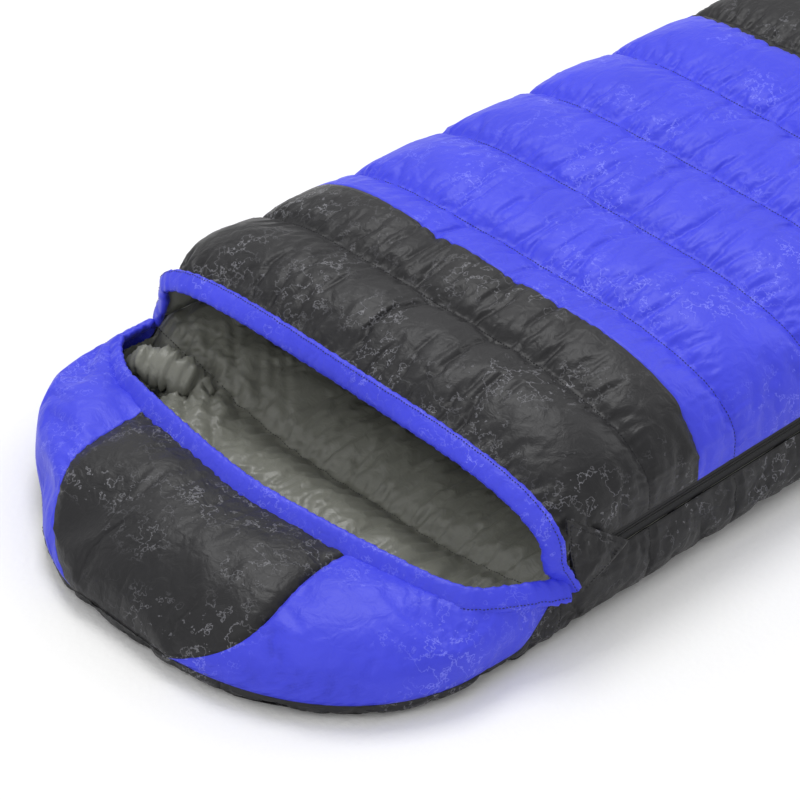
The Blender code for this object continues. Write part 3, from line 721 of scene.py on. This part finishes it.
def build_lower_lining():
    step = GRID * 1.3
    seams = HEAD_SEAMS + SEAMS[1:] + [LENGTH - 0.010]
    rows, sewn = seamed_rows(seams, lambda a: lining_point(a, np.zeros_like(a)), step)
    shares = even_values(-1, 1, lambda s: lining_point(np.full_like(s, 0.5), s), step)
    along, share = np.meshgrid(rows, shares, indexing="ij")
    wander = 0.004 * ripple(share, 0.8, 5) * np.sin(math.pi * np.clip(along / LENGTH, 0, 1))
    points = settled(lining_point(np.clip(along + wander, 0.010, LENGTH - 0.010), share))
    flat = 1 - np.abs(share) ** 3
    away = seam_distance(along, seams)
    valley = np.exp(-((away / 0.018) ** 2))
    gathers = puckers(points[..., 0], along, seams, 0.034)
    # The lining bunches up in the far corner of the head opening.
    bunched = np.exp(-(((points[..., 0] + 0.31) / 0.085) ** 2) - ((along - 0.37) / 0.085) ** 2)
    folds = np.abs(np.sin((points[..., 0] * 0.8 + along) * math.pi / 0.045)) + 0.5 * ripple(along, 0.05, 2)
    points[..., 2] += flat * (0.014 * smooth(away, 0, 0.07) + 0.0035 * gathers - 0.014 * valley)
    points[..., 2] += flat * bunched * (0.026 * folds + 0.008)
    held = held_at(along.shape, sewn == 1)
    shape = puff(points, held, LOWER_LINING_PUFF, bunched)
    outwards = outward_of(shape)
    sewn[[0, -1]] = 0
    lines = [(shape[row], outwards[row]) for row in np.flatnonzero(sewn)]
    sew("lining_stitches", lines, "lower_quilt")
    split = int(np.argmin(abs(rows - (CHEST + PITCH)))) + 1
    piece = grid_mesh("lower_lining_body", shape[split - 1 :])
    nodes = [f"down_lower_{number:02d}" for number in range(4, 13)]
    dress(piece, "lower_quilt", grey_cloth, nodes, thickness=CLOTH)
    # The part seen through the head opening is finer, with gathers at the seams and creases in the corner.
    upper, along, share = (refine(refine(values[:split], 0), 1) for values in (shape, along, share))
    upper = gathered(upper, upper[..., 0], along, seams[:6], LINING_GATHERS, seed=3)
    bunched = np.exp(-(((upper[..., 0] + 0.31) / 0.07) ** 2) - ((along - 0.36) / 0.07) ** 2)
    slant = upper[..., 0] * 0.75 - along * 0.9 + 0.02 * ripple(along, 0.09, 1)
    crease = 1 - 2 * np.abs(ripple(slant, 0.036, 12)) ** 0.6
    upper = upper + outward_of(upper) * (0.009 * crease * bunched * smooth(1 - np.abs(share), 0, 0.1))[..., None]
    piece = grid_mesh("lower_lining_head", upper)
    nodes = ["lining_lower"] + [f"down_lower_{number:02d}" for number in range(1, 4)]
    dress(piece, "lower_quilt", grey_cloth, nodes, thickness=CLOTH)


TUCK_PATH = ((-0.378, 0.332, 0.088), (-0.335, 0.350, 0.092), (-0.295, 0.370, 0.080), (-0.262, 0.394, 0.060))


def build_lining_tuck():
    """A puffed-up fold of lining that lies in the far corner of the head opening."""
    path = rounded_path(place_of(TUCK_PATH), ROLL_GRID)
    spot = np.linspace(-1, 1, len(path))
    lean = np.tile([0.3, 0.9, 0.35], (len(path), 1))
    made, _, _ = roll("lining_tuck", path, TUCK_ROLL, lean, 0.20 + 0.10 * spot**2, 11, 0.35)
    dress(made, "lower_quilt", grey_cloth)


# ---------------------------------------------------------------- hood


def hood_seam_path(side):
    """The hood's sewn edge, from the middle of the head round to the shoulder."""
    along = np.concatenate([[0.001], 0.41 * (np.arange(1, 61) / 60) ** 1.6])
    along = np.maximum(along, 0.001)
    x = side * half_width(along)
    x[0] = 0
    return np.stack([x, along - LENGTH / 2, wall_top(along, side)], axis=-1)


def hood_rim_path(side):
    """The rim of the head opening, from the centre line to the corner by the chest rim."""
    x = 0.398 * np.arange(41) / 40
    along = HOOD_RIM + 0.04 * (x / 0.3) ** 1.5 + 0.05 * np.maximum(0.0, (x - 0.3) / 0.1) ** 2
    path = np.stack([side * x, along - LENGTH / 2, mix(0.118, 0.103, (x / 0.398) ** 2)], axis=-1)
    corner = [side * 0.402, CHEST - 0.030 - LENGTH / 2, 0.098]
    return np.vstack([path, corner])


CENTRE_BELOW = {-1: 0.145, 1: 0.150}  # share of the sewn edge where the centre panel ends
CENTRE_ABOVE = {-1: 0.520, 1: 0.400}  # share of the rim
CENTRE_BOW = {-1: 0.26, 1: 0.16}  # how far the panel seams bow outwards between the two


def hood_surface(step, inner=False):
    """Points of the hood from its sewn edge up to its rim, and the columns where its panels meet.

    part runs from 0 on the centre line to 1 at a panel seam and 2 at the corner of the opening.
    """
    edge = 0.9 / step
    inside = int(0.20 * edge)
    outside = int(0.62 * edge)
    part = np.concatenate([np.linspace(0, 1, inside + 1), np.linspace(1, 2, outside + 1)[1:]])[None]
    rows = np.linspace(0, 1, int(0.26 / step))[:, None]
    turn = rows * math.pi / 2
    reach = 1 - np.cos(turn) ** 0.95
    sides = []
    for side in (-1, 1):
        bow = CENTRE_BOW[side] * np.sin(math.pi * rows**0.8) * (2 - part) * part
        bent = part + bow * np.where(part < 1, part, 1.0)
        below = np.where(bent <= 1, CENTRE_BELOW[side] * bent, mix(CENTRE_BELOW[side], 1, bent - 1))
        above = np.where(bent <= 1, CENTRE_ABOVE[side] * bent, mix(CENTRE_ABOVE[side], 1, bent - 1))
        low = at_shares(hood_seam_path(side), below)
        high = at_shares(hood_rim_path(side), above)
        narrow = smooth(below, 0.72, 1.0)
        climb = np.sin(turn) ** 0.85
        if inner:
            middle = np.array([0, HOOD_RIM + 0.10 - LENGTH / 2, 0])
            inwards = middle - low
            inwards[..., 2] = 0
            inwards /= np.linalg.norm(inwards, axis=-1, keepdims=True)
            low = low + inwards * 0.011
            high = high + inwards * 0.006 - np.array([0, 0, 0.012])
            climb = np.sin(turn) ** (0.85 * mix(1.7, 1.25, narrow))
        level = mix(low, high, reach[..., None])
        level[..., 2] = mix(low[..., 2], high[..., 2], climb)
        if not inner:
            full = 0.012 * (1 - narrow)
            if side < 0:
                far = smooth(below, 0.2, 0.5) * (1 - smooth(below, 0.9, 1.0))
                level[..., 2] += (high[..., 2] - low[..., 2]) * far * (np.sin(turn) ** 0.5 - climb)
                full = full + 0.014 * far
            level[..., 2] += full * np.sin(math.pi * rows)
        sides.append(level)
    points = settled(np.concatenate([sides[0][:, :0:-1], sides[1]], axis=1))
    return points, outside, outside + 2 * inside


def build_hood():
    points, first_seam, second_seam = hood_surface(GRID)
    rows, columns = points.shape[:2]
    held = held_at((rows, columns), [0, -1])
    held[:, [first_seam, second_seam]] = 0.5
    level = np.linspace(0, 1, rows)[:, None]
    spot = np.arange(columns)[None, :]
    towards_edge = np.exp(-((level / 0.3) ** 2)) * (spot > second_seam - 20)
    far_corner = smooth(first_seam * 0.8 - spot, 0, first_seam * 0.6) * smooth(level, 0.4, 1.0)
    loose = np.clip(towards_edge + far_corner, 0, 1) * np.ones((rows, columns))
    shape = puff(points, held, HOOD_PUFF, loose)
    spans = (
        ("fold_side", 0, first_seam, blue_cloth, "blue_polyester", []),
        ("centre", first_seam, second_seam, black_cloth, "black_polyester", ["down_hood"]),
        ("zip_side", second_seam, columns - 1, blue_cloth, "blue_polyester", []),
    )
    for title, first, last, shade, slot, extra in spans:
        piece = grid_mesh(f"hood_{title}", shape[:, first : last + 1])
        nodes = [f"hood_panel_{title}"] + extra
        dress(piece, "lower_quilt", shade, nodes, thickness=CLOTH)
    points, _, _ = hood_surface(GRID * 1.4, inner=True)
    points = points[:, ::-1]
    held = held_at(points.shape[:2], [0, -1])
    piece = grid_mesh("hood_lining", puff(points, held, HOOD_LINING_PUFF))
    dress(piece, "lower_quilt", grey_cloth, ["lining_hood"], thickness=CLOTH)


# ---------------------------------------------------------------- rims and rolls


ROLL_SIDES = 22


def roll(name, path, size, lean, gather, seed, narrow=0.0):
    """A flattened cloth roll along a path. lean is the direction of its width at each point.

    gather is how deep its crinkles are, at each point of the path; over the share narrow of its length, each end
    thins out. Also gives the points of its skin and the direction its broad side faces.
    """
    wide, thick = size
    ahead = np.gradient(path, axis=0)
    ahead /= np.linalg.norm(ahead, axis=1, keepdims=True)
    lean = lean - ahead * np.sum(lean * ahead, axis=1, keepdims=True)
    lean /= np.linalg.norm(lean, axis=1, keepdims=True)
    rise = np.cross(ahead, lean)
    turn = np.linspace(0, 2 * math.pi, ROLL_SIDES, endpoint=False)
    length = along_lengths(path)[:, None]
    # Crinkles about 17 and 41 mm long, and a slower wave of the whole roll.
    crinkle = ripple(length + 0.004 * np.sin(turn * 2 + seed), 0.017, seed)
    crinkle += 0.7 * ripple(length - 0.006 * np.cos(turn + seed), 0.041, seed + 2)
    swell = 1 + gather[:, None] * crinkle
    wave = gather[:, None, None] * thick * 1.2 * ripple(length, 0.055, seed + 4)[..., None] * rise[:, None]
    if narrow:
        from_end = (length / length[-1], 1 - length / length[-1])
        swell = swell * np.sqrt(np.clip(np.minimum(*from_end) / narrow, 0.02, 1))
    across = wide * np.sign(np.cos(turn)) * np.abs(np.cos(turn)) ** 0.8
    up = thick * np.sign(np.sin(turn)) * np.abs(np.sin(turn)) ** 0.9
    points = path[:, None] + lean[:, None] * (across * (swell if narrow else mix(1, swell, 0.5)))[..., None]
    points += rise[:, None] * (up * swell)[..., None] + wave
    ends = points.mean(axis=1, keepdims=True) + 0 * points
    made = grid_mesh(name, np.concatenate([ends[:1], points, ends[-1:]]), closed=True)
    return made, points, rise


def place_of(spots):
    """Points from (x, along, z)."""
    return np.array(spots, float) - (0, LENGTH / 2, 0)


def build_rims():
    """The two gathered channels of the head opening, each with the stitches that close it."""
    rise = np.array([0.0, 0.0, 1.0])
    sides = [hood_rim_path(side) for side in (-1, 1)]
    rim = np.vstack([sides[0][:0:-1], sides[1]])
    far_end = place_of(((-0.400, 0.404, 0.093),))
    near_end = place_of(((0.410, 0.420, 0.090),))
    rim = np.vstack([far_end, rim[2:-2:4], near_end])
    path = settled(rounded_path(rim, ROLL_GRID))
    inwards = np.array([0, CHEST - LENGTH / 2, 0.0]) - path * (0.55, 1, 0)
    inwards /= np.linalg.norm(inwards, axis=1, keepdims=True)
    path = path - inwards * 0.007 + rise * 0.006
    lean = inwards + rise * 0.9
    spot = np.linspace(-1, 1, len(path))
    gather = 0.12 + 0.16 * smooth(-spot, 0.62, 0.95) + 0.10 * smooth(spot, 0.8, 1.0)
    made, skin, rise = roll("hood_rim", path, HOOD_RIM_ROLL, lean, gather, 1)
    sew("hood_rim_stitches", [(skin[:, 8], rise)], "lower_quilt")
    dress(made, "lower_quilt", blue_cloth, ["rim_hood", "cord_hood_rim"])

    angles = np.linspace(0.0, math.pi, 25)[:-2]
    path = top_point(np.full_like(angles, CHEST), angles) + (0, -0.010, -0.004)
    tail = place_of(((0.402, 0.410, 0.132), (0.412, 0.428, 0.090)))
    path = rounded_path(np.vstack([path, tail]), ROLL_GRID)
    centre = np.array([0, CHEST - LENGTH / 2, SEAM_HEIGHT])
    out = path - centre
    out /= np.linalg.norm(out, axis=1, keepdims=True)
    lean = out + np.array([0, 0.75, 0])
    spot = np.linspace(-1, 1, len(path))
    gather = 0.12 + 0.16 * smooth(-spot, 0.72, 0.95) + 0.14 * smooth(spot, 0.8, 1.0)
    made, skin, rise = roll("chest_rim", path, CHEST_RIM_ROLL, lean, gather, 6)
    sew("chest_rim_stitches", [(skin[:, 3], rise)], "top_quilt")
    dress(made, "top_quilt", blue_cloth, ["rim_chest"])


def build_draught_rolls():
    """The padded tube behind the zip and the padded collar across the chest, under the top quilt's lining."""
    along = np.linspace(CHEST + 0.10, FOOT_CORNER, 30)
    path = np.stack([half_width(along) - 0.047, along - LENGTH / 2, 0 * along + SEAM_HEIGHT + 0.010], axis=-1)
    path = rounded_path(path, GRID)
    lean = np.tile([0.0, 0.0, 1.0], (len(path), 1))
    made, _, _ = roll("draught_tube_roll", path, DRAUGHT_TUBE_ROLL, lean, np.full(len(path), 0.10), 3)
    dress(made, "top_quilt", grey_cloth, ["draught_tube"])
    angle = math.pi * np.linspace(1, 11, 22) / 12
    along = np.full_like(angle, CHEST + 0.075)
    path = ceiling_point(along, angle)
    path[:, 0] *= (HALF_WIDTH - 0.055) / (HALF_WIDTH - 0.011)
    path[:, 2] -= 0.026
    path = rounded_path(path, GRID)
    lean = np.tile([0.0, 1.0, 0.0], (len(path), 1))
    made, _, _ = roll("draught_collar_roll", path, DRAUGHT_COLLAR_ROLL, lean, np.full(len(path), 0.14), 8)
    dress(made, "top_quilt", grey_cloth, ["draught_collar"])


def build_zip_teeth():
    """The coils' turns, as they show between the tapes; each quilt carries its own half of the zip."""
    straight = np.linspace(ZIP_START + 0.004, FOOT_CORNER, 200)
    curved = mix(FOOT_CORNER, LENGTH - ZIP_INSET, np.sin(math.pi / 2 * np.linspace(0, 1, 120)[1:]))
    along = np.concatenate([straight, curved])
    near = np.stack([half_width(along) - ZIP_INSET, along, 0 * along + SEAM_HEIGHT], axis=-1)
    far = (near[len(straight) :] * (-1, 1, 1))[::-1]
    path = np.vstack([near, far[1:-4]]) - (0, LENGTH / 2, 0)
    count = int(along_lengths(path)[-1] / TOOTH_PITCH)
    for title, body, sign, shift in (("top", "top_quilt", 1.0, 0.0), ("lower", "lower_quilt", -1.0, 0.5)):
        spots = at_shares(path, (np.arange(count) + shift) / count)
        ahead = np.gradient(spots, axis=0)
        outwards = np.cross(ahead, (0, 0, 1.0))
        outwards /= np.linalg.norm(outwards, axis=1, keepdims=True)
        spots = spots + outwards * 0.0011
        up = np.array([0, 0, sign])
        made = dashes(f"zip_teeth_{title}", spots - up * 0.0003, spots + up * 0.0045, outwards, 0.0010)
        dress(made, body, black_nylon)


TAB_UPPER, TAB_LOWER, TAB_TIP = place_of(((0.3925, 0.436, 0.189), (0.4170, 0.527, 0.122), (0.4160, 0.440, 0.082)))
TAB_GRID = GRID / 1.8
TAB_BORDER = 0.006
TAB_MARK_RADIUS = 0.0045


def build_tab():
    """The padded corner tab over the zip's head end, with its stitched border and a round stitched mark."""
    along = np.linspace(0, 1, int(0.11 / TAB_GRID))[:, None, None]
    across = np.linspace(0, 1, int(0.09 / TAB_GRID))[None, :, None]
    taper = 1 - 0.93 * across**1.15
    spot = 0.5 + (along - 0.5) * taper
    hinge = mix(TAB_UPPER, TAB_LOWER, 0.5)
    points = mix(hinge, TAB_TIP, across) + (TAB_LOWER - TAB_UPPER) * (spot - 0.5)
    outward = np.cross(TAB_TIP - TAB_UPPER, TAB_LOWER - TAB_UPPER)
    outward *= np.sign(outward[0]) / np.linalg.norm(outward)
    dome = (1 - np.abs(2 * along - 1) ** 4) * (1 - (2 * across - 1) ** 4)
    points = points + outward * (0.0022 + 0.003 * dome)
    held = held_at(points.shape[:2], [0, -1])
    if np.dot(outward_of(points)[5, 5], outward) < 0:
        points = points[::-1]
    shape = puff(points, held, TAB_PUFF)
    edge = max(int(TAB_BORDER / TAB_GRID), 2)
    border = (shape[edge, edge:-edge], shape[-edge - 1, edge:-edge], shape[edge:-edge, edge])
    middle = mix(TAB_LOWER, TAB_TIP, 0.22) * 0.9 + mix(TAB_UPPER, TAB_TIP, 0.4) * 0.1 + outward * 0.0048
    ahead = (TAB_LOWER - TAB_UPPER) / np.linalg.norm(TAB_LOWER - TAB_UPPER)
    turn = np.linspace(0, 2 * math.pi, 25)[:, None]
    ring = middle + TAB_MARK_RADIUS * (np.cos(turn) * ahead + np.sin(turn) * np.cross(outward, ahead))
    lines = [(line, np.tile(outward, (len(line), 1))) for line in (*border, ring)]
    sew("tab_stitches", lines, "corner_tab")
    made = grid_mesh("corner_tab_cloth", shape)
    dress(made, "corner_tab", black_cloth, ["corner_tab"], thickness=TAB_CLOTH)


# ---------------------------------------------------------------- CAD nodes that stay


def finish_kept_nodes():
    """Materials for the CAD pieces that already have their final shape."""
    kept = {
        blue_cloth: ("fold_seam_binding",),
        black_tape: ("zip_tape_top", "zip_tape_lower", "tab_hook_patch", "tab_loop_patch"),
        black_nylon: ("zip_coil_top", "zip_coil_lower"),
        zinc: (
            "zip_slider_head",
            "zip_slider_head_pull",
            "zip_slider_foot",
            "zip_slider_foot_pull",
            "zip_stop_head",
            "zip_stop_foot",
        ),
    }
    for shade, names in kept.items():
        for name in names:
            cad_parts[name].material_slots[0].material = shade


# ---------------------------------------------------------------- camera, light and floor


CAMERA_TARGET = (-0.036, -0.562, 0.10)
CAMERA_AZIMUTH, CAMERA_ELEVATION = math.radians(47.586), math.radians(35.876)
CAMERA_DISTANCE = 6.194
CAMERA_LENS = 203.5
LAMPS = (  # name, place, size and power
    ("key", (-1.4, 0.2, 3.9), 1.8, 70),
    ("fill", (0.8, -3.6, 2.8), 2.6, 17),
    ("back", (0.5, 3.0, 2.4), 1.8, 20),
)
FLOOR_HALF = 12.0
FLOOR_DROP = 0.0005


def aim(thing, target):
    turned = (Vector(target) - thing.location).to_track_quat("-Z", "Y")
    thing.rotation_euler = turned.to_euler()


def build_studio():
    """The camera, three soft lamps, an even sky and a pale floor."""
    data = bpy.data.cameras.new("camera")
    data.lens = CAMERA_LENS
    camera = placed("camera", data)
    level = math.cos(CAMERA_ELEVATION)
    away = (level * math.sin(CAMERA_AZIMUTH), -level * math.cos(CAMERA_AZIMUTH), math.sin(CAMERA_ELEVATION))
    camera.location = Vector(CAMERA_TARGET) + CAMERA_DISTANCE * Vector(away)
    aim(camera, CAMERA_TARGET)
    bpy.context.scene.camera = camera
    for name, spot, size, power in LAMPS:
        light = bpy.data.lights.new(name, "AREA")
        light.size = size
        light.energy = power
        lamp = placed(name, light)
        lamp.location = spot
        aim(lamp, (0, -0.5, 0.1))
    world = bpy.data.worlds.new("studio")
    world.use_nodes = True
    world.node_tree.nodes["Background"].inputs["Color"].default_value = (1, 1, 1, 1)
    world.node_tree.nodes["Background"].inputs["Strength"].default_value = 0.7
    bpy.context.scene.world = world
    bpy.context.scene.view_settings.view_transform = "Standard"
    corners = [(x * FLOOR_HALF, y * FLOOR_HALF, -FLOOR_DROP) for x, y in ((-1, -1), (1, -1), (1, 1), (-1, 1))]
    mesh = bpy.data.meshes.new("floor")
    mesh.from_pydata(corners, [], [(0, 1, 2, 3)])
    floor = placed("floor", mesh)
    floor.data.materials.append(plain("pale_floor", "fbfbfb", 0.9, grain=0.01))


build_studio()
build_top_shell()
build_top_lining()
build_wall()
build_floor_panel()
build_lower_lining()
build_lining_tuck()
build_hood()
build_rims()
build_draught_rolls()
build_zip_teeth()
build_tab()
finish_kept_nodes()

bpy.context.view_layer.update()
